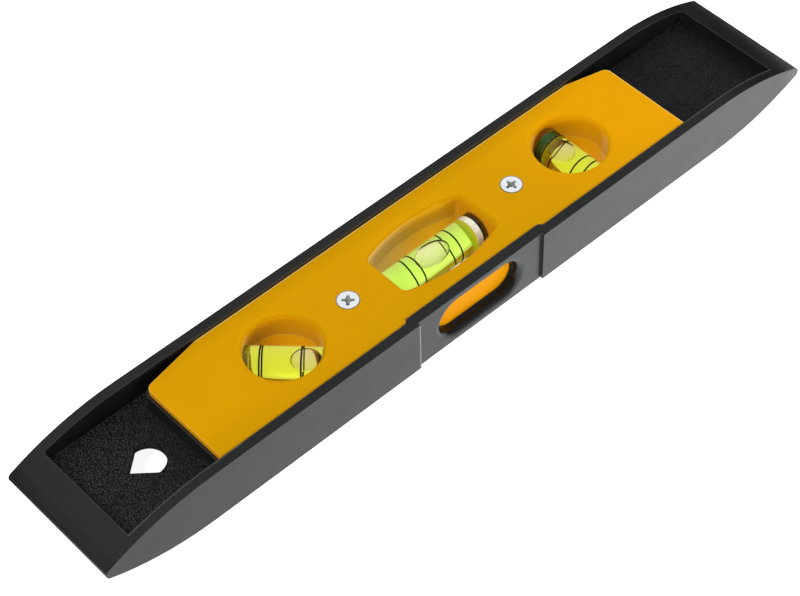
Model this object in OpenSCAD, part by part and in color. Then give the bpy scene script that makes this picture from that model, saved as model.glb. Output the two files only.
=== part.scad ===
// Pocket spirit level with a black I-section frame, a two-part yellow vial holder and three vials.
// X runs along the level, minus Y is its top edge with the read-out slot, plus Y its measuring edge,
// and Z comes out of the front face. The level lies on its back: the rear rims of the frame rest on
// z = 0, and the origin is below the middle of the frame.

/* [Frame] */
// Overall length
body_l = 230; // [222:1:250]
// Distance between the two measuring edges
body_w = 36.5; // [35.5:0.5:42]
// Thickness, from the rear rims to the front rims
body_t = 16.2; // [15.8:0.1:18]
// Thickness of the two flanges
flange_t = 2.7; // [2.2:0.1:3.2]
// Thickness of the web between the flanges
web_t = 1.9; // [1.4:0.1:3]
// Distance from the middle to the start of the tapered ends
taper_x = 84; // [81:0.5:90]
// Radius of the rounded tip at each end
tip_r = 1.6; // [1:0.1:2.4]
// Length of the solid land at each end, beyond the pocket
land_l = 8.8; // [7:0.2:11]
// Radius of the pockets' corners
pocket_r = 0.8; // [0.4:0.1:2]

/* [Read-out recess and slot] */
// Length of the recess in the top edge
recess_l = 41; // [36:0.5:44]
// Depth of the recess in the top edge
recess_d = 0.8; // [0.4:0.1:1.2]
// How far the flange's inner side steps in behind the recess
recess_step = 1; // [0.6:0.1:1.4]
// Extra length of that step at each end
recess_over = 1.3; // [0.8:0.1:2]
// Length of the slot on the inner side of the flange
slot_l = 24.8; // [20:0.2:28]
// Width of the slot on the inner side of the flange
slot_w = 9.6; // [8:0.2:10.4]
// How far the slot's wall spreads before its lip
slot_draft = 0.5; // [0:0.1:0.6]
// Radius of the slot's outer lip
lip_r = 1.9; // [1:0.1:2]

/* [Hanging hole] */
// Distance from the end of the frame to the middle of the hole
hang_x = 25.9; // [23:0.1:27]
// Radius of the round part
hang_r = 4.65; // [3:0.05:5.5]
// Distance from the middle of the round part to the pointed tip
hang_tip = 5.5; // [5:0.1:7]

/* [Holder] */
// Reach of the holder to the left of the middle
holder_left = 78.8; // [76:0.1:80]
// Reach of the holder to the right of the middle
holder_right = 73.8; // [72:0.1:76]
// Depth of the holder's faces below the rims of the frame
face_drop = 1; // [0.6:0.1:1.5]
// Thickness of the holder's face plates
plate_t = 1.5; // [1.2:0.1:2]
// Thickness of the holder's inner walls
wall_t = 1.6; // [1.2:0.1:2]
// Half length of the frame's opening that the holder passes through
opening_x = 64; // [62:0.5:66]
// Distance from the middle to where the tapered corners start
corner_x = 61.7; // [58:0.1:66]
// How far the tapered corners run in at the holder's ends
corner_d = 3.1; // [2:0.1:4]
// Radius of the two tapered corners
corner_r = 2; // [1:0.1:3]
// Width of the frame's ledge that shows beyond the holder's ends
ledge_w = 0.6; // [0.4:0.1:1]
// Thickness of the frame's ledge walls
ledge_t = 1.8; // [1.4:0.1:2.4]
// Gap between the holder and the frame
holder_gap = 0.15; // [0.1:0.05:0.3]
// Gap between the two halves of the holder
seam_gap = 0.12; // [0.05:0.01:0.3]
// Depth of the front half's tongue behind the slot, below the seam
tongue_d = 5.4; // [4.9:0.1:5.8]
// Extra half length of the tongue beyond the slot
tongue_over = 3.6; // [3:0.1:5]

/* [Windows] */
// Distance from the middle to the two round windows
window_x = 47.8; // [46.5:0.1:48.5]
// Radius of the round windows at their walls
window_r = 9.6; // [9:0.1:10]
// Radius of the windows' soft rims
rim_r = 1.5; // [0.5:0.1:1.6]
// Half length of the middle window
barrel_x = 15.1; // [14.8:0.1:16]
// Half width of the middle window at its middle
barrel_y = 9.4; // [9:0.1:10]
// Half width of the middle window at its ends
barrel_end_y = 6.7; // [6.2:0.1:7.5]
// Radius of the middle window's upright corners
barrel_corner_r = 1.6; // [0.8:0.1:2.4]

/* [Vials] */
// Outer radius of the vial tubes
tube_r = 4.62; // [4.2:0.02:4.8]
// Radius of the bore at its widest, in the middle
bore_r = 3.5; // [3.2:0.05:3.6]
// How much the bore's radius falls towards its ends
bore_crown = 0.06; // [0.02:0.01:0.1]
// Thickness of each tube's closed end
tube_end_t = 1.1; // [0.8:0.1:1.5]
// Length of the middle vial
level_l = 34; // [32:0.2:36]
// How far its plug and seal are pushed into its tube
level_plug_in = 2.4; // [0:0.1:3]
// Length of the middle vial's white plug
level_plug_l = 1.8; // [1.2:0.1:3]
// Thickness of the black seal on the plug's outer end
level_seal_t = 0.7; // [0.4:0.1:1.2]
// Length of the plumb and angle vials
short_l = 22; // [21:0.1:22.4]
// How far its plug is pushed into the plumb vial's tube
plumb_plug_in = 2.5; // [0:0.1:3]
// Length of the plumb vial's plug
plumb_plug_l = 2.2; // [1.4:0.1:2.6]
// Length of the angle vial's plug
angle_plug_l = 2.7; // [2:0.1:3.6]
// Angle of the angle vial to the level's length
vial_angle = 45; // [30:5:60]
// Gap between a vial and its seat in the holder
vial_gap = 0.06; // [0.04:0.01:0.15]
// Thickness of the seat's wall round a vial
seat_t = 1.3; // [1:0.1:1.5]

/* [Rings and bubbles] */
// Distance between the middle vial's rings
level_ring_gap = 12.2; // [10:0.1:13]
// Place of their middle along the level
level_ring_mid = 0.2; // [-0.5:0.1:0.8]
// Distance between the short vials' rings
short_ring_gap = 9.9; // [9:0.1:10.4]
// Shift of their middle towards the plug
short_ring_mid = 0.6; // [0:0.1:0.8]
// Width of a printed ring
ring_w = 0.45; // [0.3:0.05:0.6]
// Thickness of a printed ring
ring_t = 0.06; // [0.04:0.01:0.1]
// Length of the middle vial's bubble
level_bubble_l = 10.4; // [6:0.1:10.8]
// Length of the short vials' bubbles
short_bubble_l = 7.6; // [6:0.1:8]
// Width of the bubbles
bubble_w = 5; // [4:0.1:5.8]
// Depth of the bubbles
bubble_h = 3.6; // [2:0.1:4.2]
// Liquid left between a bubble and the bore
film_t = 0.12; // [0.08:0.01:0.3]
// Place of the middle bubble along the level
level_bubble_at = -0.1; // [-1.5:0.1:1.5]
// Liquid between the plumb bubble and its plug
plumb_bubble_gap = 0.1; // [0.1:0.1:4]
// Liquid between the angle bubble and its tube's closed end
angle_bubble_gap = 0.7; // [0.3:0.1:4]

/* [Screws] */
// Distance from the middle to the two screws
screw_x = 27.2; // [26.5:0.1:29.5]
// Radius of the screw heads
head_r = 2.83; // [2.5:0.01:3]
// Height of the screws' tapered heads
head_h = 1.6; // [1.3:0.1:1.9]
// Radius of the screw shanks
shank_r = 1.5; // [1.2:0.05:1.7]
// Overall length of a screw
screw_l = 11; // [10:0.1:11.5]
// Gap round a screw in the front half
screw_gap = 0.15; // [0.1:0.05:0.3]
// Gap round a screw in the rear half, which its thread bites into
bite_gap = 0.03; // [0.01:0.01:0.05]
// Wall of the screw bosses round the holes
boss_t = 2.4; // [1.6:0.1:2.6]
// Length of each arm of the driver cross
cross_l = 3.5; // [2.6:0.1:4]
// Width of each arm of the driver cross
cross_w = 0.85; // [0.6:0.05:1.1]
// Radius of the round middle of the driver cross
cross_r = 0.95; // [0.7:0.05:1.1]
// Depth of the driver cross
cross_d = 1.5; // [1:0.1:1.8]
// Turn of the left screw's cross
turn_left = 47; // [0:1:90]
// Turn of the right screw's cross
turn_right = 2; // [0:1:90]
// Room under the tip of a screw
tip_room = 0.4; // [0.2:0.1:0.8]

/* [Hidden] */
e = 0.01;
mid = body_t / 2;
half_w = body_w / 2;
inner_y = half_w - flange_t;
web_top = mid + web_t / 2;
pocket_x = body_l / 2 - land_l;
// the tapered ends are arcs that meet the flat rims and the rounded tips without a corner
taper_run = body_l / 2 - taper_x;
taper_r = (pow(taper_run, 2) - 2 * taper_run * tip_r + pow(mid, 2)) / (2 * (mid - tip_r));
// the tip's arc starts this far from the taper's start
tip_run = (taper_run - tip_r) * taper_r / (taper_r - tip_r);
// heights of the front half: its face, the underside of its plate and its seam
face_z = body_t - face_drop;
plate_z = face_z - plate_t;
seam_z = mid + seam_gap / 2;
// outline of the holder: long sides, tapered far corners, step behind the recess
side_y = inner_y - holder_gap;
step_x = recess_l / 2 + recess_over;
step_ramp = recess_step;
skirt_x = opening_x - holder_gap;
ledge_x0 = holder_left + ledge_w;
ledge_x1 = holder_right + ledge_w;
tongue_x = slot_l / 2 + tongue_over;
// wall that the slot goes through
slot_wall = flange_t + recess_step - recess_d;
// middle window: two big arcs between straight ends
barrel_r = (pow(barrel_x, 2) + pow(barrel_y - barrel_end_y, 2)) / (2 * (barrel_y - barrel_end_y));
// centre of that window's corner, and the turn from its end wall to its side
barrel_corner_x = barrel_x - barrel_corner_r;
barrel_corner_reach = sqrt(pow(barrel_r - barrel_corner_r, 2) - pow(barrel_corner_x, 2));
barrel_corner_y = barrel_corner_reach - barrel_r + barrel_y;
barrel_corner_turn = atan2(barrel_corner_reach, barrel_corner_x);
seat_r = tube_r + vial_gap;
// a bubble floats until its top is film_t from the bore, or its two sides if it is broad
bubble_r = bore_r - film_t;
bubble_room = 4 * pow(bubble_r, 2) - pow(bubble_w, 2);
bubble_side_z = sqrt(max(0, bubble_room * (pow(bubble_w, 2) - pow(bubble_h, 2)))) / (2 * bubble_w);
bubble_z = pow(bubble_w, 2) > 2 * bubble_h * bubble_r ? bubble_side_z : bubble_r - bubble_h / 2;
// places of the short vials' bubbles along their tubes, towards the plug
plumb_bubble_at = short_l / 2 - plumb_plug_in - plumb_plug_l - plumb_bubble_gap - short_bubble_l / 2;
angle_bubble_at = tube_end_t + angle_bubble_gap + short_bubble_l / 2 - short_l / 2;
tip_h = shank_r;

function unit(v) = v / norm(v);
// points of the arc that rounds corner b of the path a, b, c
function corner_arc(a, b, c, r, n = 6) =
    let (u = unit(a - b), v = unit(c - b), h = acos(u * v) / 2,
         m = b + unit(u + v) * r / sin(h), p = b + u * r / tan(h), q = b + v * r / tan(h),
         s = atan2(p[1] - m[1], p[0] - m[0]), t = atan2(q[1] - m[1], q[0] - m[0]),
         d = t - s > 180 ? t - s - 360 : t - s < -180 ? t - s + 360 : t - s)
    [for (i = [0 : n]) m + r * [cos(s + d * i / n), sin(s + d * i / n)]];
// radius of the bore at distance x from its middle, in a bore that is l long
function bore_at(x, l) = bore_r - bore_crown * pow(2 * x / l, 2);

// outline of the holder or the ledge, with its ends at x0 and x1, pulled in by t on every side
module holder_2d(x0, x1, t = 0) {
    y = side_y - t;
    a = [x0 + t, side_y - corner_d - t];
    b = [x1 - t, side_y - corner_d - t];
    far_l = [-corner_x + t, y];
    far_r = [corner_x - t, y];
    polygon(concat([[x0 + t, -y], [-step_x - step_ramp, -y], [-step_x, -y + recess_step],
                    [step_x, -y + recess_step], [step_x + step_ramp, -y], [x1 - t, -y]],
                   corner_arc([x1 - t, -y], b, far_r, corner_r),
                   [far_r, far_l],
                   corner_arc(far_l, a, [x0 + t, -y], corner_r)));
}

// side view of the frame: flat rims, then arcs to a rounded tip
module side_2d() {
    translate([-taper_x, 0]) square([2 * taper_x, body_t]);
    for (s = [0, 1]) mirror([s, 0]) {
        intersection() {
            translate([taper_x, body_t - taper_r]) circle(taper_r, $fn = 360);
            translate([taper_x, taper_r]) circle(taper_r, $fn = 360);
            translate([taper_x - e, 0]) square([tip_run + e, body_t]);
        }
        translate([body_l / 2 - tip_r, mid]) circle(tip_r, $fn = 48);
    }
}

// the frame's opening in plan, which narrows behind the recess
module opening_2d() {
    polygon([[-opening_x, -inner_y], [-step_x - step_ramp, -inner_y], [-step_x, -inner_y + recess_step],
             [step_x, -inner_y + recess_step], [step_x + step_ramp, -inner_y], [opening_x, -inner_y],
             [opening_x, inner_y], [-opening_x, inner_y]]);
}

// half profile of the slot, from the inner side of its wall outwards: a drafted wall, then a round lip
module slot_2d() {
    x = slot_w / 2 + slot_draft;
    y = slot_wall - lip_r;
    difference() {
        polygon([[0, -e], [slot_w / 2, -e], [slot_w / 2, 0], [x, y], [x + lip_r, y],
                 [x + lip_r, slot_wall + 1], [0, slot_wall + 1]]);
        translate([x + lip_r, y]) circle(lip_r, $fn = 48);
    }
}
// the slot with its round ends, cut along +Z
module flared_slot() {
    run = slot_l - slot_w;
    for (s = [-1, 1]) translate([s * run / 2, 0, 0]) rotate_extrude($fn = 72) slot_2d();
    rotate([90, 0, 90]) linear_extrude(run, center = true) for (s = [0, 1]) mirror([s, 0]) slot_2d();
}

// the pockets in plan, which run under the holder as one
module pocket_2d() {
    c = [[-pocket_x, -inner_y], [pocket_x, -inner_y], [pocket_x, inner_y], [-pocket_x, inner_y]];
    polygon([for (i = [0 : 3]) each corner_arc(c[(i + 3) % 4], c[i], c[(i + 1) % 4], pocket_r, 4)]);
}

module frame_solid() {
    rotate([90, 0, 0]) linear_extrude(body_w, center = true) side_2d();
}

// frame that stands on the web round the ends of the holder, with its walls ledge_t thick
module ledges() {
    difference() {
        linear_extrude(2 * (plate_z - mid)) holder_2d(-ledge_x0, ledge_x1, -holder_gap);
        for (z = [-1, web_top - body_t + plate_z]) translate([0, 0, z])
            linear_extrude(plate_z - web_top + 1) holder_2d(-ledge_x0, ledge_x1, ledge_t - holder_gap);
    }
}

module body() {
    color([0.13, 0.13, 0.13]) difference() {
        union() {
            difference() {
                frame_solid();
                for (z = [-1, web_top]) translate([0, 0, z]) linear_extrude(mid - web_t / 2 + 1) pocket_2d();
            }
            translate([0, 0, body_t - plate_z]) ledges();
            // the top flange steps in behind the recess
            linear_extrude(body_t)
                polygon([[-step_x - step_ramp, -inner_y - e], [step_x + step_ramp, -inner_y - e],
                         [step_x, -inner_y + recess_step], [-step_x, -inner_y + recess_step]]);
        }
        translate([0, 0, -1]) linear_extrude(body_t + 2) opening_2d();
        // recess in the top edge
        translate([-recess_l / 2, -half_w - 1, -1]) cube([recess_l, recess_d + 1, body_t + 2]);
        translate([0, -inner_y + recess_step, mid]) rotate([90, 0, 0]) flared_slot();
        // hanging hole: a half circle towards the middle and a point towards the end
        translate([-body_l / 2 + hang_x, 0, 0]) {
            intersection() {
                translate([0, 0, -1]) cylinder(h = body_t + 2, r = hang_r, $fn = 72);
                translate([-e, -hang_r - 1, -1]) cube([hang_r + 1, 2 * hang_r + 2, body_t + 2]);
            }
            translate([0, 0, -1]) linear_extrude(body_t + 2)
                polygon([[-hang_tip, 0], [0, -hang_r], [0, hang_r]]);
        }
    }
}

// profile of a window from its axis, seam to face, with a rounded rim of radius rim_r
module rim_2d(r) {
    top = face_z - mid;
    difference() {
        translate([0, -e]) square([r + rim_r, top + 1]);
        translate([r, -1]) square([rim_r + 1, top - rim_r + 1]);
        translate([r + rim_r, top - rim_r]) circle(rim_r, $fn = 32);
    }
}

module round_window() {
    translate([0, 0, mid]) rotate_extrude($fn = 72) rim_2d(window_r);
}

// prism between two flat walls x from the middle, turned by turn, with the same rounded rim
module flat_pair(x, turn = 0) {
    translate([0, 0, mid]) rotate([90, 0, turn]) linear_extrude(4 * barrel_x, center = true) {
        rim_2d(x);
        mirror([1, 0]) rim_2d(x);
    }
}

// pair of flats that touch the corner arcs of two opposite corners where they have turned by turn
module corner_flats(turn) {
    flat_pair(barrel_corner_x * cos(turn) + barrel_corner_y * abs(sin(turn)) + barrel_corner_r, turn);
}

// the middle window: end walls, two big arcs, and two flats round each upright corner
module barrel_window() {
    intersection() {
        flat_pair(barrel_x);
        corner_flats(barrel_corner_turn / 3);
        corner_flats(-barrel_corner_turn / 3);
        corner_flats(barrel_corner_turn * 2 / 3);
        corner_flats(-barrel_corner_turn * 2 / 3);
        translate([0, barrel_y - barrel_r, mid]) rotate_extrude($fn = 240) rim_2d(barrel_r);
        translate([0, barrel_r - barrel_y, mid]) rotate_extrude($fn = 240) rim_2d(barrel_r);
    }
}

// the same window without its rim, grown by g, for the wall round it
module barrel_core(g) {
    intersection() {
        translate([-barrel_x - g, -barrel_y - g, seam_z])
            cube([2 * (barrel_x + g), 2 * (barrel_y + g), face_z - seam_z - e]);
        translate([0, barrel_y - barrel_r, 0]) cylinder(h = body_t, r = barrel_r + g, $fn = 240);
        translate([0, barrel_r - barrel_y, 0]) cylinder(h = body_t, r = barrel_r + g, $fn = 240);
    }
}

// puts a child made along +X, with its plug at the +X end, where the named vial lies
module at_level() { translate([0, 0, mid]) children(); }
module at_plumb() { translate([window_x, 0, mid]) rotate([0, 0, 90]) children(); }
module at_angle() { translate([-window_x, 0, mid]) rotate([0, 0, 180 - vial_angle]) children(); }

module seat_block(l) {
    translate([-l / 2 - vial_gap - seat_t, -seat_r - seat_t, seam_z - mid])
        cube([l + 2 * (vial_gap + seat_t), 2 * (seat_r + seat_t), face_z - seam_z - e]);
}
module seat_bore(l) {
    rotate([0, 90, 0]) cylinder(h = l + 2 * vial_gap, r = seat_r, center = true, $fn = 60);
}

// everything of one holder half above the seam, before its screw holes
module holder_half() {
    difference() {
        union() {
            translate([0, 0, plate_z]) linear_extrude(plate_t) holder_2d(-holder_left, holder_right);
            // skirt round the opening
            difference() {
                translate([0, 0, seam_z]) linear_extrude(face_z - seam_z - e) intersection() {
                    holder_2d(-holder_left, holder_right);
                    square([2 * skirt_x, body_w], center = true);
                }
                translate([0, 0, seam_z - 1]) linear_extrude(plate_z - seam_z + 1) intersection() {
                    holder_2d(-holder_left, holder_right, wall_t);
                    square([2 * (skirt_x - wall_t), body_w], center = true);
                }
            }
            // walls of the windows, seats of the vials and screw bosses
            for (s = [-1, 1]) translate([s * window_x, 0, seam_z])
                cylinder(h = face_z - seam_z - e, r = window_r + wall_t, $fn = 72);
            barrel_core(wall_t);
            intersection() {
                translate([0, 0, seam_z - 1]) linear_extrude(body_t) holder_2d(-holder_left, holder_right);
                union() {
                    at_level() seat_block(level_l);
                    at_plumb() seat_block(short_l);
                    at_angle() seat_block(short_l);
                }
            }
            for (s = [-1, 1]) translate([s * screw_x, 0, seam_z])
                cylinder(h = face_z - seam_z - e, r = shank_r + boss_t, $fn = 48);
        }
        for (s = [-1, 1]) translate([s * window_x, 0, 0]) round_window();
        barrel_window();
        at_level() seat_bore(level_l);
        at_plumb() seat_bore(short_l);
        at_angle() seat_bore(short_l);
    }
}

// block behind the slot, cut to the skirt's wall: the tongue, or with g the notch for it
module tongue(g, z0) {
    translate([-tongue_x - g, -side_y + recess_step - (g > 0 ? 1 : 0), mid - tongue_d - g])
        cube([2 * (tongue_x + g), wall_t + (g > 0 ? 1 + g : 0), tongue_d + g + z0]);
}

module front_cover() {
    color([0.87, 0.62, 0.02]) {
        difference() {
            union() {
                holder_half();
                tongue(0, 1);
            }
            for (s = [-1, 1]) translate([s * screw_x, 0, 0]) {
                cylinder(h = body_t, r = shank_r + screw_gap, $fn = 48);
                translate([0, 0, face_z - head_h]) cylinder(h = head_h + e, r1 = shank_r + screw_gap,
                    r2 = head_r + screw_gap + e, $fn = 48);
            }
        }
    }
}

module rear_cover() {
    color([0.82, 0.57, 0.02]) difference() {
        translate([0, 0, body_t]) mirror([0, 0, 1]) holder_half();
        tongue(seam_gap, 1);
        for (s = [-1, 1]) translate([s * screw_x, 0, face_z - screw_l - tip_room])
            cylinder(h = screw_l, r = shank_r + bite_gap, $fn = 48);
    }
}

// countersunk screw, head flush with the holder's face
module screw(turn) {
    color([0.78, 0.79, 0.8]) difference() {
        union() {
            translate([0, 0, -head_h]) cylinder(h = head_h, r1 = shank_r, r2 = head_r, $fn = 48);
            translate([0, 0, tip_h - screw_l])
                cylinder(h = screw_l - tip_h - head_h + e, r = shank_r, $fn = 48);
            translate([0, 0, -screw_l]) cylinder(h = tip_h + e, r1 = shank_r / 5, r2 = shank_r, $fn = 48);
        }
        intersection() {
            union() {
                for (a = [0, 90]) rotate([0, 0, a + turn])
                    translate([-cross_l / 2, -cross_w / 2, -cross_d]) cube([cross_l, cross_w, cross_d + 1]);
                translate([0, 0, -cross_d])
                    cylinder(h = cross_d + e, r1 = cross_w / 2, r2 = cross_r, $fn = 48);
            }
            translate([0, 0, -cross_d])
                cylinder(h = cross_d + e, r1 = cross_w * 0.6, r2 = cross_l / 2, $fn = 48);
        }
    }
}
module screw_left() { translate([-screw_x, 0, face_z]) screw(turn_left); }
module screw_right() { translate([screw_x, 0, face_z]) screw(turn_right); }

// bore of a tube that is l long, from its closed end to its open end, a little wider in the middle
module bore_solid(l) {
    x0 = -l / 2 + tube_end_t;
    rotate([0, 90, 0]) rotate_extrude($fn = 60)
        polygon(concat([[0, x0], [0, l / 2]],
                       [for (i = [0 : 6]) let (x = l / 2 + (x0 - l / 2) * i / 6) [bore_at(x, l), x]]));
}
// the part of that bore between a and b
module bore_part(l, a, b) {
    intersection() {
        bore_solid(l);
        translate([a, -tube_r, -tube_r]) cube([b - a, 2 * tube_r, 2 * tube_r]);
    }
}

// tube closed at the -X end and open for the plug at the +X end
module tube(l) {
    color([0.9, 0.95, 0.88, 0.4]) difference() {
        rotate([0, 90, 0]) cylinder(h = l, r = tube_r, center = true, $fn = 60);
        bore_solid(l);
        translate([l / 2 - e, 0, 0]) rotate([0, 90, 0]) cylinder(h = 1, r = bore_at(l / 2, l), $fn = 60);
    }
}

// liquid up to its plug, whose outer end lies plug_in inside the tube, with the bubble as a void
module liquid(l, plug_l, plug_in, bubble_l, bubble_at) {
    color([0.8, 0.9, 0.2, 0.7]) difference() {
        bore_part(l, -l, l / 2 - plug_in - plug_l);
        translate([bubble_at, 0, bubble_z]) scale([bubble_l / 2, bubble_w / 2, bubble_h / 2])
            sphere(1, $fn = 32);
    }
}

module plug(l, plug_l, plug_in, tint) {
    color(tint) bore_part(l, l / 2 - plug_in - plug_l, l / 2 - plug_in);
}

module ring() {
    color([0.05, 0.07, 0.03]) rotate([0, 90, 0]) rotate_extrude($fn = 60)
        translate([tube_r, -ring_w / 2]) square([ring_t, ring_w]);
}

module level_tube() { at_level() tube(level_l); }
module level_liquid() {
    at_level() liquid(level_l, level_plug_l, level_plug_in + level_seal_t, level_bubble_l, level_bubble_at);
}
module level_plug() {
    at_level() plug(level_l, level_plug_l, level_plug_in + level_seal_t, [0.92, 0.92, 0.88]);
}
module level_seal() { at_level() plug(level_l, level_seal_t, level_plug_in, [0.05, 0.05, 0.05]); }
module level_ring(s) {
    at_level() translate([level_ring_mid + s * level_ring_gap / 2, 0, 0]) ring();
}
module level_ring_left() { level_ring(-1); }
module level_ring_right() { level_ring(1); }

module plumb_tube() { at_plumb() tube(short_l); }
module plumb_liquid() {
    at_plumb() liquid(short_l, plumb_plug_l, plumb_plug_in, short_bubble_l, plumb_bubble_at);
}
module plumb_plug() { at_plumb() plug(short_l, plumb_plug_l, plumb_plug_in, [0.1, 0.2, 0.1]); }
module plumb_ring_top() { at_plumb() translate([short_ring_mid - short_ring_gap / 2, 0, 0]) ring(); }
module plumb_ring_low() { at_plumb() translate([short_ring_mid + short_ring_gap / 2, 0, 0]) ring(); }

module angle_tube() { at_angle() tube(short_l); }
module angle_liquid() { at_angle() liquid(short_l, angle_plug_l, 0, short_bubble_l, angle_bubble_at); }
module angle_plug() { at_angle() plug(short_l, angle_plug_l, 0, [0.45, 0.4, 0.08]); }
module angle_ring_left() { at_angle() translate([short_ring_mid + short_ring_gap / 2, 0, 0]) ring(); }
module angle_ring_right() { at_angle() translate([short_ring_mid - short_ring_gap / 2, 0, 0]) ring(); }

body();
front_cover();
rear_cover();
screw_left();
screw_right();
level_tube();
level_liquid();
level_plug();
level_seal();
level_ring_left();
level_ring_right();
plumb_tube();
plumb_liquid();
plumb_plug();
plumb_ring_top();
plumb_ring_low();
angle_tube();
angle_liquid();
angle_plug();
angle_ring_left();
angle_ring_right();
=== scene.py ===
"""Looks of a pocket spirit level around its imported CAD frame: camera, light, floor and materials.

X runs along the level, -Y is its top edge with the read-out slot, +Z comes out of its front face.
Left and right are -X and +X, near and far are -Y and +Y, as the camera sees them.
All lengths are in metres. MM turns millimetres into metres.
"""
import math

import bpy
from mathutils import Matrix, Vector

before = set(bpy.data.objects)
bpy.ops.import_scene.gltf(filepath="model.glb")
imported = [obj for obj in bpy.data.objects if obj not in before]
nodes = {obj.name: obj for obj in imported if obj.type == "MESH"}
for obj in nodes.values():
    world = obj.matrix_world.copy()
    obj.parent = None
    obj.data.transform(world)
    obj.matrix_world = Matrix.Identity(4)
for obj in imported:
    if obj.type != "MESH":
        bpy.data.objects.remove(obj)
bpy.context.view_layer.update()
MM = 0.001

# Camera
CAMERA_AT = Vector((-245.12, -268.21, 423.91)) * MM
CAMERA_LOOK = Vector((0.42474, 0.48604, -0.76378))
CAMERA_RIGHT = Vector((0.73607, -0.67657, -0.02122))
FOCAL_PX = 2248.2  # focal length in pixels of the 800 pixel wide picture
PICTURE_W = 800
SENSOR_MM = 36


def add_camera():
    data = bpy.data.cameras.new("camera")
    data.sensor_fit = "HORIZONTAL"
    data.sensor_width = SENSOR_MM
    data.lens = FOCAL_PX * SENSOR_MM / PICTURE_W
    data.clip_start = 10 * MM
    obj = bpy.data.objects.new("camera", data)
    bpy.context.scene.collection.objects.link(obj)
    look = CAMERA_LOOK.normalized()
    right = (CAMERA_RIGHT - look * CAMERA_RIGHT.dot(look)).normalized()
    up = right.cross(look)
    obj.matrix_world = Matrix.Translation(CAMERA_AT) @ Matrix((right, up, -look)).transposed().to_4x4()
    bpy.context.scene.camera = obj


# Node trees
class Tree:
    """Short ways to build the shader tree of a material or a world, which functions below call t."""

    def __init__(self, owner):
        owner.use_nodes = True
        self.owner = owner
        self.tree = owner.node_tree
        self.tree.nodes.clear()
        of_world = isinstance(owner, bpy.types.World)
        self.out = self.tree.nodes.new("ShaderNodeOutputWorld" if of_world else "ShaderNodeOutputMaterial")
        self.coords = self.node("ShaderNodeTexCoord").outputs
        self.object_xyz = self.coords["Object"]

    def node(self, kind, ins=None, **settings):
        """A node with its settings and its inputs: a socket is linked, a value is set."""
        made = self.tree.nodes.new(kind)
        for key, value in settings.items():
            setattr(made, key, value)
        for key, value in (ins or {}).items():
            if isinstance(value, bpy.types.NodeSocket):
                self.tree.links.new(value, made.inputs[key])
            else:
                made.inputs[key].default_value = value
        return made

    def math(self, operation, *values, clamp=False):
        ins = dict(enumerate(values))
        return self.node("ShaderNodeMath", ins, operation=operation, use_clamp=clamp).outputs[0]

    def product(self, *values):
        result = values[0]
        for value in values[1:]:
            result = self.math("MULTIPLY", result, value)
        return result

    def absolute(self, value):
        return self.math("ABSOLUTE", value)

    def below(self, value, limit):
        return self.math("LESS_THAN", value, limit)

    def above(self, value, limit):
        return self.math("GREATER_THAN", value, limit)

    def length(self, a, b):
        squares = self.math("ADD", self.math("POWER", a, 2.0), self.math("POWER", b, 2.0))
        return self.math("SQRT", squares)

    def vector(self, operation, a, b=None):
        """The outputs of a node that works on whole vectors."""
        ins = {0: a} if b is None else {0: a, 1: b}
        return self.node("ShaderNodeVectorMath", ins, operation=operation).outputs

    def split(self, vector):
        return self.node("ShaderNodeSeparateXYZ", {"Vector": vector}).outputs

    def flatness(self):
        """1 on faces that lie flat, 0 on upright ones."""
        normal = self.node("ShaderNodeNewGeometry").outputs["True Normal"]
        return self.absolute(self.split(normal)[2])

    def noise(self, size, detail=3.0, roughness=0.5):
        """Noise with features about size metres across, from 0 to 1."""
        ins = {"Vector": self.object_xyz, "Scale": 1 / size, "Detail": detail, "Roughness": roughness}
        return self.node("ShaderNodeTexNoise", ins).outputs[0]

    def remap(self, value, low, high, to_low=0.0, to_high=1.0):
        """to_low where value is low, to_high where it is high, smooth between and level past them."""
        ins = {"Value": value, "From Min": low, "From Max": high, "To Min": to_low, "To Max": to_high}
        return self.node("ShaderNodeMapRange", ins, interpolation_type="SMOOTHSTEP").outputs[0]

    def mix(self, factor, a, b):
        """The colour a where the factor is 0, b where it is 1."""
        made = self.node("ShaderNodeMix", {"Factor": factor}, data_type="RGBA")
        # a colour mix has its own sockets, which share their names with those for numbers
        for socket, value in ((made.inputs[6], a), (made.inputs[7], b)):
            if isinstance(value, bpy.types.NodeSocket):
                self.tree.links.new(value, socket)
            else:
                socket.default_value = (*value, 1.0)
        return made.outputs[2]

    def paint(self, base, colour, mask, strength=1.0):
        """The base with a colour laid over it where the mask is 1."""
        return self.mix(self.math("MULTIPLY", mask, strength), base, colour)

    def bump(self, height, depth, normal=None):
        """Bump whose height goes from 0 to depth metres."""
        ins = {"Height": height, "Distance": depth}
        if normal:
            ins["Normal"] = normal
        return self.node("ShaderNodeBump", ins).outputs[0]

    def principled(self, **ins):
        named = {key.replace("_", " "): value for key, value in ins.items()}
        return self.node("ShaderNodeBsdfPrincipled", named).outputs[0]

    def blend(self, factor, a, b):
        """The shader a where the factor is 0, b where it is 1."""
        return self.node("ShaderNodeMixShader", {0: factor, 1: a, 2: b}).outputs[0]

    def finish(self, shader, volume=None):
        self.tree.links.new(shader, self.out.inputs["Surface"])
        if volume:
            self.tree.links.new(volume, self.out.inputs["Volume"])
        return self.owner


def new_material(name):
    return Tree(bpy.data.materials.new(name))


def dress(mat, *names):
    for name in names:
        data = nodes[name].data
        data.materials.clear()
        data.materials.append(mat)


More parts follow.
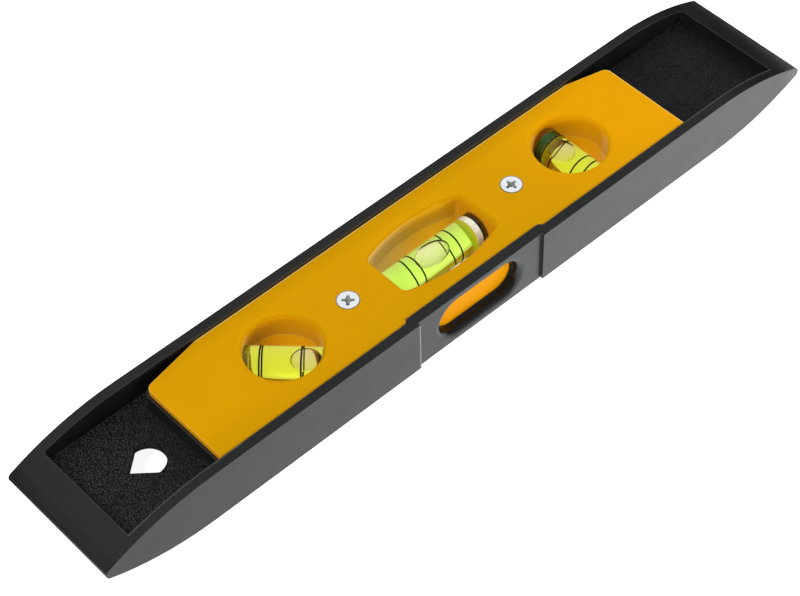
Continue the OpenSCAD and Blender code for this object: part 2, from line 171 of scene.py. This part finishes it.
# Places on the part
MID_Z = 8.1 * MM  # the middle plane, halfway through the thickness
WEB_HALF = 1.0 * MM  # the pockets' floors lie within this distance of the middle plane
POCKET_X = 106.3 * MM  # the grained pockets end here
POCKET_Y = 15.6 * MM
NOSE_X = 104 * MM  # the noses have their full painted sheen and shade from here on
NEAR_FACE_Y = -17.6 * MM  # only the near face lies before this
BELOW_TOP_Z = 15.9 * MM  # just below the tops of the rims
RECESS_X = 20.6 * MM  # the recess in the top edge steps down here
RIM_STEP_X = 21.8 * MM  # the near rim's inner side steps in here
RIM_STEP = 1.0 * MM
RIM_BACK_Y = -13 * MM  # the near rim ends before this
LIP_Y = -17.2 * MM  # the slot's painted shade starts here, on its rounded lip
SLOT_HALF = 5.5 * MM  # half the width of the slot, with a part of its lip
COVER_RIGHT = 73.2 * MM  # past these, the holder has its right and far edges
COVER_FAR = 15.1 * MM
SCREW_X = 27.2 * MM
HEAD_R = 2.85 * MM  # radius of a screw's head
WINDOW_X = 47.8 * MM  # the round windows are centred here
WINDOW_EDGE = 10.4 * MM  # and their walls lie within this radius
WINDOW_BOX = 24 * MM  # half length of a box round the middle window, and its whole width

# Black plastic
BLACK = (0.0085, 0.0095, 0.0095)
BLACK_CLOUD = (0.0125, 0.0132, 0.0128)
LEFT_NOSE_SHEEN = (0.0135, 0.0155, 0.016)
RIGHT_NOSE_SHADE = (0.001, 0.0012, 0.001)
GRAIN_GLINT_LEFT = (0.031, 0.033, 0.035)
GRAIN_GLINT_RIGHT = (0.018, 0.019, 0.0195)
GRAIN_VALLEY_SHADE = (0.001, 0.001, 0.001)
SLOT_SHADE = (0.001, 0.001, 0.0008)
EDGE_HIGHLIGHT_BLACK = (0.10, 0.10, 0.098)
BLACK_SPECK = (0.05, 0.05, 0.05)
STEP_HIGHLIGHT = (0.3, 0.3, 0.3)
SCUFF = (0.4, 0.4, 0.4)
WARPS_PER_METRE = 900.0
WARP = 0.7 * MM  # how far the warp shifts the grain's cells
CELL = 0.66 * MM


def edge_mask(t, radius):
    """1 along sharp edges, where rounding would turn the face, fading to 0 about radius away from them."""
    rounded = t.node("ShaderNodeBevel", {"Radius": radius}, samples=4).outputs[0]
    flat = t.node("ShaderNodeNewGeometry").outputs["Normal"]
    same = t.vector("DOT_PRODUCT", rounded, flat)["Value"]
    return t.remap(same, 1.0, 0.86)


def leather_cells(t):
    """Height of moulded leather grain: wrinkled cells with a finer noise on them."""
    warp = t.node("ShaderNodeTexNoise", {"Vector": t.object_xyz, "Scale": WARPS_PER_METRE, "Detail": 2.0})
    shift = t.node("ShaderNodeVectorMath", {0: warp.outputs["Color"], "Scale": WARP}, operation="SCALE")
    warped = t.vector("ADD", t.object_xyz, shift.outputs[0])[0]
    cells = t.node("ShaderNodeTexVoronoi", {"Vector": warped, "Scale": 1 / CELL}, feature="DISTANCE_TO_EDGE")
    plateau = t.remap(cells.outputs["Distance"], 0.0, 0.18)
    return t.math("MULTIPLY_ADD", t.noise(0.35 * MM, roughness=0.6), 0.5, plateau)


def black_plastic():
    t = new_material("black_plastic")
    x, y, z = t.split(t.object_xyz)
    off_mid = t.absolute(t.math("SUBTRACT", z, MID_Z))
    # the grained pocket floors lie on both sides of the middle plane
    on_floor = t.remap(off_mid, WEB_HALF + 0.25 * MM, WEB_HALF)
    grained = t.product(on_floor, t.below(t.absolute(y), POCKET_Y), t.below(t.absolute(x), POCKET_X))
    on_top = t.product(t.remap(t.flatness(), 0.5, 0.8), t.remap(off_mid, 2.0 * MM, 2.5 * MM))
    leather = t.product(leather_cells(t), grained)
    # the smooth faces keep a faint mottling from the mould
    normal = t.bump(t.noise(0.5 * MM, detail=2.0), 0.006 * MM)
    normal = t.bump(leather, 0.13 * MM, normal=normal)
    cloud = t.noise(14 * MM, detail=4.0, roughness=0.55)
    colour = t.mix(t.remap(cloud, 0.3, 0.7), BLACK, BLACK_CLOUD)
    # painted light: the top of the right nose is darker with painted shade, that of the left one paler with
    # a painted sheen
    colour = t.paint(colour, RIGHT_NOSE_SHADE, t.product(t.remap(x, 70 * MM, NOSE_X), on_top))
    colour = t.paint(colour, LEFT_NOSE_SHEEN, t.product(t.remap(x, -80 * MM, -NOSE_X), on_top))
    # painted shade in the grain's valleys and painted glints on its tops, paler towards the left
    tops = t.mix(t.remap(x, -90 * MM, 90 * MM), GRAIN_GLINT_LEFT, GRAIN_GLINT_RIGHT)
    colour = t.paint(colour, t.mix(t.remap(leather, 0.5, 1.5), GRAIN_VALLEY_SHADE, tops), grained)
    # painted shade: the slot is near black inside, from its rounded lip to the inner side of the near rim
    behind_lip = t.product(t.remap(y, LIP_Y, LIP_Y + 0.6 * MM), t.below(y, RIM_BACK_Y))
    by_slot = t.product(t.remap(off_mid, SLOT_HALF + 0.5 * MM, SLOT_HALF), t.below(t.absolute(x), RECESS_X))
    colour = t.paint(colour, SLOT_SHADE, t.product(behind_lip, by_slot), strength=0.9)
    # painted highlights along the edges, but not at the foot of the pockets' walls
    near_floor = t.product(t.below(t.absolute(y), POCKET_Y - 0.1 * MM), t.below(off_mid, 2.5 * MM))
    edge_highlight = t.math("SUBTRACT", edge_mask(t, 0.35 * MM), near_floor, clamp=True)
    # and a painted highlight along the line where the near rim drops into the pockets
    off_line = t.absolute(t.math("ADD", y, POCKET_Y + 0.1 * MM))
    by_pocket = t.product(t.above(t.absolute(x), COVER_RIGHT), t.below(t.absolute(x), POCKET_X))
    rim_highlight = t.product(t.remap(off_line, 0.25 * MM, 0.1 * MM), by_pocket, on_top)
    colour = t.paint(colour, EDGE_HIGHLIGHT_BLACK, t.math("MAXIMUM", edge_highlight, rim_highlight), strength=0.5)
    speck = t.remap(t.noise(0.9 * MM, detail=5.0, roughness=0.7), 0.66, 0.76)
    colour = t.paint(colour, BLACK_SPECK, speck, strength=0.25)
    # a painted highlight along the left step of the recess, from its foot to just below the rim's top
    off_step = t.absolute(t.math("ADD", x, RECESS_X))
    on_near_face = t.product(t.below(y, -POCKET_Y), t.below(z, BELOW_TOP_Z))
    step_highlight = t.product(t.remap(off_step, 0.35 * MM, 0.15 * MM), on_near_face)
    colour = t.paint(colour, STEP_HIGHLIGHT, step_highlight, strength=0.8)
    # scuffs on the near face of the right nose
    scratches = t.remap(t.noise(0.3 * MM, roughness=0.6), 0.54, 0.66)
    on_nose = t.product(t.remap(x, 108 * MM, 114 * MM), t.below(y, NEAR_FACE_Y))
    colour = t.paint(colour, SCUFF, t.product(scratches, on_nose))
    rough = t.remap(t.noise(6 * MM, detail=4.0, roughness=0.6), 0.25, 0.75, 0.3, 0.38)
    rough = t.math("MULTIPLY_ADD", grained, 0.16, rough)
    return t.finish(t.principled(Base_Color=colour, Roughness=rough, Normal=normal, IOR=1.5))


# Yellow plastic
YELLOW = (0.605, 0.292, 0.0)
YELLOW_LIT_RIGHT = (0.78, 0.342, 0.0)
YELLOW_CLOUD = (0.66, 0.315, 0.0)
YELLOW_SPECK = (0.8, 0.45, 0.01)
LIT_WALL = (0.8, 0.35, 0.0)
LIT_WALL_AT_SLOT = (0.95, 0.37, 0.0)
SHEEN_LEFT = (1.0, 0.66, 0.18)
SHEEN_MIDDLE = (1.0, 0.5, 0.01)
MIDDLE_SHADE_RIGHT = (0.62, 0.25, 0.0)
ROUND_SHEEN = (1.0, 0.62, 0.22)
RIM_SHADOW = (0.2, 0.11, 0.0)
EDGE_HIGHLIGHT_YELLOW = (0.98, 0.72, 0.28)
HEAD_GAP_SHADE = (0.2, 0.12, 0.02)
LIT_RIGHT = 0.74  # the way from the middle of a round window to its near right side
LIT_NEAR = 0.67


def screw_radius(t):
    """Distance of a point from the nearer screw's axis."""
    x, y = t.split(t.object_xyz)[:2]
    return t.length(t.math("SUBTRACT", t.absolute(x), SCREW_X), y)


def wall_light_colour(t, x, y, in_middle):
    """Painted light on the holder's upright walls and on all that is deep in the middle window: glow, sheen
    and shade.
    """
    # painted light: light that comes through the plastic is painted in as a deeper orange, most behind the
    # slot
    wall = t.mix(t.remap(y, -11.0 * MM, -12.0 * MM), LIT_WALL, LIT_WALL_AT_SLOT)
    # the middle window's walls have a painted sheen at the left and painted shade at the right
    sheen = t.mix(t.remap(x, -14 * MM, 6 * MM), SHEEN_LEFT, SHEEN_MIDDLE)
    sheen = t.paint(sheen, MIDDLE_SHADE_RIGHT, t.remap(x, 8 * MM, 18 * MM))
    wall = t.paint(wall, sheen, in_middle)
    # the round windows' walls have a sheen at their near right and far left sides
    off_x = t.math("MULTIPLY_ADD", t.math("SIGN", x), -WINDOW_X, x)
    across = t.math("SUBTRACT", t.math("MULTIPLY", off_x, LIT_RIGHT), t.math("MULTIPLY", y, LIT_NEAR))
    at_sides = t.remap(t.absolute(across), 8.0 * MM, 9.4 * MM)
    lit = t.product(at_sides, t.below(t.length(off_x, y), WINDOW_EDGE))
    return t.paint(wall, ROUND_SHEEN, lit, strength=0.38)


def yellow_plastic():
    t = new_material("yellow_plastic")
    x, y, z = t.split(t.object_xyz)
    off_mid = t.absolute(t.math("SUBTRACT", z, MID_Z))
    flatness = t.flatness()
    lies_flat = t.remap(flatness, 0.3, 0.6)
    # painted light: redder and lighter towards the right end
    colour = t.mix(t.remap(x, 22 * MM, 76 * MM), YELLOW, YELLOW_LIT_RIGHT)
    colour = t.paint(colour, YELLOW_CLOUD, t.remap(t.noise(22 * MM), 0.3, 0.7), strength=0.3)
    speck = t.remap(t.noise(0.7 * MM, detail=4.0, roughness=0.65), 0.64, 0.74)
    colour = t.paint(colour, YELLOW_SPECK, speck, strength=0.12)
    in_middle = t.below(t.math("MAXIMUM", t.absolute(x), t.math("MULTIPLY", t.absolute(y), 2.0)), WINDOW_BOX)
    deep = t.product(in_middle, t.remap(off_mid, 4.9 * MM, 3.9 * MM))
    upright = t.remap(flatness, 0.5, 0.15)
    colour = t.paint(colour, wall_light_colour(t, x, y, in_middle), t.math("MAXIMUM", upright, deep))
    # painted shadow of the near rim, in the corner below it
    off_rim = t.math("MULTIPLY_ADD", t.below(t.absolute(x), RIM_STEP_X), -RIM_STEP, y)
    rim_shadow = t.product(t.remap(off_rim, -14.2 * MM, -15.1 * MM), lies_flat)
    colour = t.paint(colour, RIM_SHADOW, rim_shadow, strength=0.7)
    # painted highlights along the edges, most along the far and right ones
    wear_and_highlight = t.math("MULTIPLY_ADD", t.above(x, COVER_RIGHT), 0.7, 0.25)
    far_highlight = t.product(t.remap(y, COVER_FAR, COVER_FAR + 0.15 * MM), lies_flat, 0.75)
    edge_highlight = t.math("MAXIMUM", t.product(edge_mask(t, 0.42 * MM), wear_and_highlight), far_highlight)
    colour = t.paint(colour, EDGE_HIGHLIGHT_YELLOW, edge_highlight)
    # painted shade in the gap round the heads of the screws, which are on the front only
    off_head = t.absolute(t.math("SUBTRACT", screw_radius(t), HEAD_R))
    dust_and_shade = t.product(t.remap(off_head, 0.2 * MM, 0.05 * MM), t.above(z, MID_Z))
    colour = t.paint(colour, HEAD_GAP_SHADE, dust_and_shade, strength=0.6)
    rough = t.remap(t.noise(9 * MM, detail=4.0, roughness=0.6), 0.25, 0.75, 0.36, 0.46)
    normal = t.bump(t.noise(0.45 * MM, detail=2.0), 0.004 * MM)
    return t.finish(t.principled(Base_Color=colour, Roughness=rough, Normal=normal, IOR=1.49,
                                 Specular_IOR_Level=0.06, Subsurface_Weight=0.15,
                                 Subsurface_Radius=(1.0, 0.45, 0.08), Subsurface_Scale=1.6 * MM))


# Screws
ZINC = (0.80, 0.84, 0.90)
ZINC_BRIGHT = (0.90, 0.93, 0.97)
CROSS_DARK = (0.34, 0.38, 0.34)
HEAD_RIM_SHADE = (0.2, 0.17, 0.1)
TURNED_RING = 0.16 * MM  # distance between two of the rings that turning leaves on a head


def zinc():
    t = new_material("zinc")
    z = t.split(t.object_xyz)[2]
    radius = screw_radius(t)
    rings = t.math("SINE", t.math("MULTIPLY", radius, 2 * math.pi / TURNED_RING))
    blotch = t.noise(0.8 * MM, detail=4.0, roughness=0.6)
    colour = t.mix(t.remap(blotch, 0.3, 0.7), ZINC, ZINC_BRIGHT)
    # the cross is darker and grey-green
    in_cross = t.product(t.remap(z, 15.1 * MM, 14.9 * MM), t.remap(radius, 1.9 * MM, 1.6 * MM))
    colour = t.paint(colour, CROSS_DARK, in_cross)
    # painted shade round the rim of the head
    rim = t.remap(radius, HEAD_R - 0.3 * MM, HEAD_R - 0.1 * MM)
    colour = t.paint(colour, HEAD_RIM_SHADE, rim, strength=0.75)
    normal = t.bump(rings, 0.002 * MM)
    normal = t.bump(blotch, 0.01 * MM, normal=normal)
    rough = t.remap(t.noise(0.5 * MM, roughness=0.6), 0.3, 0.7, 0.38, 0.5)
    return t.finish(t.principled(Base_Color=colour, Roughness=rough, Normal=normal, Metallic=0.2))


# Vials
VIAL_IOR = 1.47  # the tube and the liquid bend light alike, so their shared face doesn't show
BUBBLE_IOR = 1.16  # the film on a bubble bends light less, which keeps its outline thin
TUBE_R = 4.62 * MM
BUBBLE_UP = Vector((0, 0, 1.58)) * MM  # the bubble floats this far above the axis
TUBE_TINT = (1.0, 0.98, 0.85)
TUBE_LAMP_TINT = (0.97, 1.0, 0.93)
FILM_TINT = (0.89, 0.86, 0.96)
PLUG_END_LIGHT = (1.0, 0.72, 0.03)
CLEAR = (1.0, 1.0, 1.0)
SEAL_SHADE = (0.003, 0.003, 0.003)
SEAL_DUST = (0.012, 0.012, 0.011)
INK = (0.002, 0.004, 0.001)
INK_WORN = (0.01, 0.016, 0.004)
LIQUID_SHRINK = 0.015 * MM
PLUG_SHRINK = 0.03 * MM


class Vial:
    """A vial: its axis passes through the point at along u, and its plug is at the +u end.

    The bubble lies bubble_u along the axis from that point. Tint and density say how the liquid
    takes up light, and plug is the plug's colour. Lengths are in millimetres here.
    """

    def __init__(self, name, at, u, bubble_u, tint, density, plug):
        self.name = name
        self.at = Vector(at) * MM
        self.u = Vector(u).normalized()
        self.bubble = self.at + self.u * bubble_u * MM + BUBBLE_UP
        self.tint = tint
        self.density = density
        self.plug = plug


VIALS = (
    Vial("level", (0, 0, 8.1), (1, 0, 0), -0.1, (0.81, 0.985, 0.3), 390.0, (1.0, 1.0, 0.97)),
    Vial("plumb", (47.8, 0, 8.1), (0, 1, 0), 2.4, (0.925, 0.99, 0.1), 460.0, (0.02, 0.07, 0.012)),
    Vial("angle", (-47.8, 0, 8.1), (-1, 1, 0), -5.4, (0.925, 0.985, 0.1), 460.0, (0.33, 0.25, 0.0)),
)


def lets_lamps_through(t, shader, tint):
    """Lamp light passes the glass straight, so that it reaches what is behind."""
    path = t.node("ShaderNodeLightPath").outputs["Is Shadow Ray"]
    clear = t.node("ShaderNodeBsdfTransparent", {"Color": (*tint, 1.0)}).outputs[0]
    return t.blend(path, shader, clear)


def from_axis(t, vial):
    """Distance of a point from the vial's axis."""
    rel = t.vector("SUBTRACT", t.object_xyz, tuple(vial.at))[0]
    across = t.vector("CROSS_PRODUCT", rel, tuple(vial.u))[0]
    return t.vector("LENGTH", across)["Value"]


def looks_at(t, place):
    """1 on faces whose outer side is turned towards a place, 0 on the others."""
    face = t.node("ShaderNodeNewGeometry").outputs
    rel = t.vector("SUBTRACT", t.object_xyz, tuple(place))[0]
    away = t.vector("DOT_PRODUCT", face["True Normal"], rel)["Value"]
    side = t.math("MULTIPLY_ADD", face["Backfacing"], -2.0, 1.0)
    return t.below(t.math("MULTIPLY", away, side), 0.0)


def tube_plastic(vial):
    t = new_material(vial.name + "_acrylic")
    ripple = t.noise(5 * MM, detail=1.0, roughness=0.4)
    glass = t.principled(Base_Color=(*TUBE_TINT, 1.0), Roughness=0.01, IOR=VIAL_IOR,
                         Transmission_Weight=1.0, Normal=t.bump(ripple, 0.01 * MM))
    glass = lets_lamps_through(t, glass, TUBE_LAMP_TINT)
    # the face between tube and liquid bends nothing
    clear = t.node("ShaderNodeBsdfTransparent").outputs[0]
    outside = t.remap(from_axis(t, vial), TUBE_R - 0.7 * MM, TUBE_R - 0.5 * MM)
    return t.finish(t.blend(outside, clear, glass))


def liquid(vial):
    t = new_material(vial.name + "_liquid")
    film = t.principled(Base_Color=(*FILM_TINT, 1.0), Roughness=0.0, IOR=BUBBLE_IOR,
                        Transmission_Weight=1.0)
    film = lets_lamps_through(t, film, CLEAR)
    clear = t.node("ShaderNodeBsdfTransparent").outputs[0]
    # only the bubble's own faces bend light
    surface = t.blend(looks_at(t, vial.bubble), clear, film)
    volume = t.node("ShaderNodeVolumeAbsorption", {"Color": (*vial.tint, 1.0), "Density": vial.density})
    return t.finish(surface, volume.outputs[0])


def plug_plastic(vial):
    t = new_material(vial.name + "_plug")
    shade = t.noise(0.8 * MM, detail=4.0, roughness=0.6)
    dark = tuple(0.8 * channel for channel in vial.plug)
    colour = t.mix(t.remap(shade, 0.35, 0.6), dark, vial.plug)
    # painted light: its end faces are painted in the holder's colour, as lit by the holder
    normal = t.node("ShaderNodeNewGeometry").outputs["True Normal"]
    end_on = t.absolute(t.vector("DOT_PRODUCT", normal, tuple(vial.u))["Value"])
    colour = t.paint(colour, PLUG_END_LIGHT, t.remap(end_on, 0.6, 0.9))
    return t.finish(t.principled(Base_Color=colour, Roughness=0.35, IOR=1.5, Specular_IOR_Level=0.1,
                                 Normal=t.bump(shade, 0.02 * MM)))


# painted shade: the near-black ring at the level's plug end stands in for the dark gap at the end of its
# tube
def seal_painted_shade():
    t = new_material("seal_painted_shade")
    dust_and_shade = t.noise(0.5 * MM, detail=4.0, roughness=0.6)
    colour = t.mix(t.remap(dust_and_shade, 0.4, 0.8), SEAL_SHADE, SEAL_DUST)
    return t.finish(t.principled(Base_Color=colour, Roughness=0.6, IOR=1.5, Normal=t.bump(dust_and_shade, 0.02 * MM)))


def ring_ink():
    t = new_material("ring_ink")
    wear_and_highlight = t.noise(0.2 * MM, roughness=0.6)
    colour = t.mix(t.remap(wear_and_highlight, 0.3, 0.8), INK, INK_WORN)
    return t.finish(t.principled(Base_Color=colour, Roughness=0.5, IOR=1.45))


def shrink(name, by):
    """Draws a node's faces in by a hair, so that they don't share a place with the bore's."""
    hair = nodes[name].modifiers.new("hair", "DISPLACE")
    hair.mid_level = 0.0
    hair.strength = -by


# Rounded edges
BODY_ROUNDING = 0.22 * MM
COVER_ROUNDING = 0.16 * MM
SHARP_DEGREES = 28  # edges that turn by more than this are rounded
FLAT_DEGREES = 0.3  # triangles that turn by less than this are one flat face


def round_edges(name, width):
    """Joins the flat triangles of a CAD node's mesh and rounds its sharp edges."""
    obj = nodes[name]
    weld = obj.modifiers.new("join", "WELD")
    weld.merge_threshold = 0.002 * MM
    flat = obj.modifiers.new("flatten", "DECIMATE")
    flat.decimate_type = "DISSOLVE"
    flat.angle_limit = math.radians(FLAT_DEGREES)
    bevel = obj.modifiers.new("round", "BEVEL")
    bevel.width = width
    bevel.segments = 3
    bevel.limit_method = "ANGLE"
    bevel.angle_limit = math.radians(SHARP_DEGREES)
    bevel.harden_normals = True
    bevel.use_clamp_overlap = True
    bevel.miter_outer = "MITER_ARC"


# Light and floor
FLOOR_HALF = 3.0
FLOOR_DROP = 0.02 * MM  # the floor lies this far below the level, so that they share no place
FLOOR_MATT = (0.8, 0.8, 0.8, 1.0)
FLOOR_CAMERA_GLOW = 0.9  # strength of the floor's own light that the camera sees
FLOOR_DIFFUSE_GLOW = 0.35  # the same for matt faces
FLOOR_GLASS_GLOW = 0.66  # and for rays through glass
TABLE = (0.96, 0.99, 1.0, 1.0)
TABLE_BEHIND = 0.12  # strength of the table behind the level, where it is 1 in front
TABLE_LEFT = 1.2  # it is this much stronger at the left and right ends
TABLE_RIGHT = 1.9
TABLE_END_X = 130 * MM
UNDER_X = 114 * MM  # the level hides the table within these
UNDER_Y = 17 * MM
SKY_HORIZON = 0.05  # strength of the sky that polished faces see, low down and high up
SKY_HIGH = 0.36
SKY_EVEN = 0.34  # strength of the sky that matt faces see all round
WHITE = (1.0, 1.0, 1.0, 1.0)


def area_light(name, at, aim, size, power):
    """A soft lamp that isn't mirrored, so that it leaves no hot spot on the gloss."""
    data = bpy.data.lights.new(name, "AREA")
    data.shape = "RECTANGLE"
    data.size, data.size_y = size
    data.energy = power
    obj = bpy.data.objects.new(name, data)
    bpy.context.scene.collection.objects.link(obj)
    obj.visible_glossy = False
    obj.visible_transmission = False
    obj.location = at
    obj.rotation_euler = (Vector(aim) - Vector(at)).to_track_quat("-Z", "Y").to_euler()


def table_strength(t):
    """Strength of the table that polished faces see: bright in front of the level, dim behind it."""
    x, y = t.split(t.object_xyz)[:2]
    in_front = t.remap(y, 30 * MM, -15 * MM, TABLE_BEHIND, 1.0)
    along = t.remap(x, -TABLE_END_X, TABLE_END_X, TABLE_LEFT, TABLE_RIGHT)
    # painted shadow: the strip under the level is dark
    under = t.product(t.below(t.absolute(x), UNDER_X), t.below(t.absolute(y), UNDER_Y))
    return t.product(in_front, along, t.math("MULTIPLY_ADD", under, -0.9, 1.0))


def add_floor():
    corners = [(-FLOOR_HALF, -FLOOR_HALF, 0), (FLOOR_HALF, -FLOOR_HALF, 0),
               (FLOOR_HALF, FLOOR_HALF, 0), (-FLOOR_HALF, FLOOR_HALF, 0)]
    mesh = bpy.data.meshes.new("floor")
    mesh.from_pydata(corners, [], [(0, 1, 2, 3)])
    obj = bpy.data.objects.new("floor", mesh)
    bpy.context.scene.collection.objects.link(obj)
    obj.location.z = -FLOOR_DROP
    t = new_material("floor")
    path = t.node("ShaderNodeLightPath").outputs
    matt = t.node("ShaderNodeBsdfDiffuse", {"Color": FLOOR_MATT}).outputs[0]
    seen = t.math("MULTIPLY", path["Is Camera Ray"], FLOOR_CAMERA_GLOW)
    glow = t.math("MULTIPLY_ADD", path["Is Diffuse Ray"], FLOOR_DIFFUSE_GLOW, seen)
    glow = t.math("MAXIMUM", glow, t.math("MULTIPLY", path["Is Transmission Ray"], FLOOR_GLASS_GLOW))
    glowing = t.node("ShaderNodeEmission", {"Strength": glow}).outputs[0]
    plain = t.node("ShaderNodeAddShader", {0: matt, 1: glowing}).outputs[0]
    table = t.node("ShaderNodeEmission", {"Color": TABLE, "Strength": table_strength(t)}).outputs[0]
    # a ray through glass counts as glossy too, but sees the plain floor
    mirrored = t.math("SUBTRACT", path["Is Glossy Ray"], path["Is Transmission Ray"], clamp=True)
    mesh.materials.append(t.finish(t.blend(mirrored, plain, table)))


def add_world():
    world = bpy.data.worlds.new("studio")
    bpy.context.scene.world = world
    t = Tree(world)
    path = t.node("ShaderNodeLightPath").outputs
    # polished faces see soft light above and almost none near the horizon
    height = t.split(t.coords["Generated"])[2]
    sky = t.remap(height, 0.1, 0.7, SKY_HORIZON, SKY_HIGH)
    even = t.node("ShaderNodeMix", {"Factor": path["Is Diffuse Ray"], "A": sky, "B": SKY_EVEN})
    light = t.node("ShaderNodeBackground", {"Color": WHITE, "Strength": even.outputs["Result"]}).outputs[0]
    # the camera and rays through glass see plain white
    white = t.node("ShaderNodeBackground", {"Color": WHITE, "Strength": 1.0}).outputs[0]
    straight = t.math("MAXIMUM", path["Is Camera Ray"], path["Is Transmission Ray"])
    t.finish(t.blend(straight, light, white))


# The scene
bpy.context.scene.view_settings.view_transform = "Standard"
add_camera()
add_world()
add_floor()
area_light("key", at=(-0.78, -0.13, 1.03), aim=(0, 0, 0), size=(0.45, 0.45), power=10.9)
area_light("fill", at=(0.6, 0.05, 0.4), aim=(0, 0, 0), size=(0.25, 0.25), power=2.5)
area_light("low", at=(0.12, -0.7, 0.11), aim=(0, 0, 0.008), size=(0.3, 0.08), power=1.6)

dress(black_plastic(), "body")
dress(yellow_plastic(), "front_cover", "rear_cover")
dress(zinc(), "screw_left", "screw_right")
dress(seal_painted_shade(), "level_seal")
dress(ring_ink(), *(name for name in nodes if "_ring" in name))
for vial in VIALS:
    dress(tube_plastic(vial), vial.name + "_tube")
    dress(liquid(vial), vial.name + "_liquid")
    dress(plug_plastic(vial), vial.name + "_plug")
    shrink(vial.name + "_liquid", LIQUID_SHRINK)
    shrink(vial.name + "_plug", PLUG_SHRINK)
shrink("level_seal", PLUG_SHRINK)

round_edges("body", BODY_ROUNDING)
round_edges("front_cover", COVER_ROUNDING)
round_edges("rear_cover", COVER_ROUNDING)
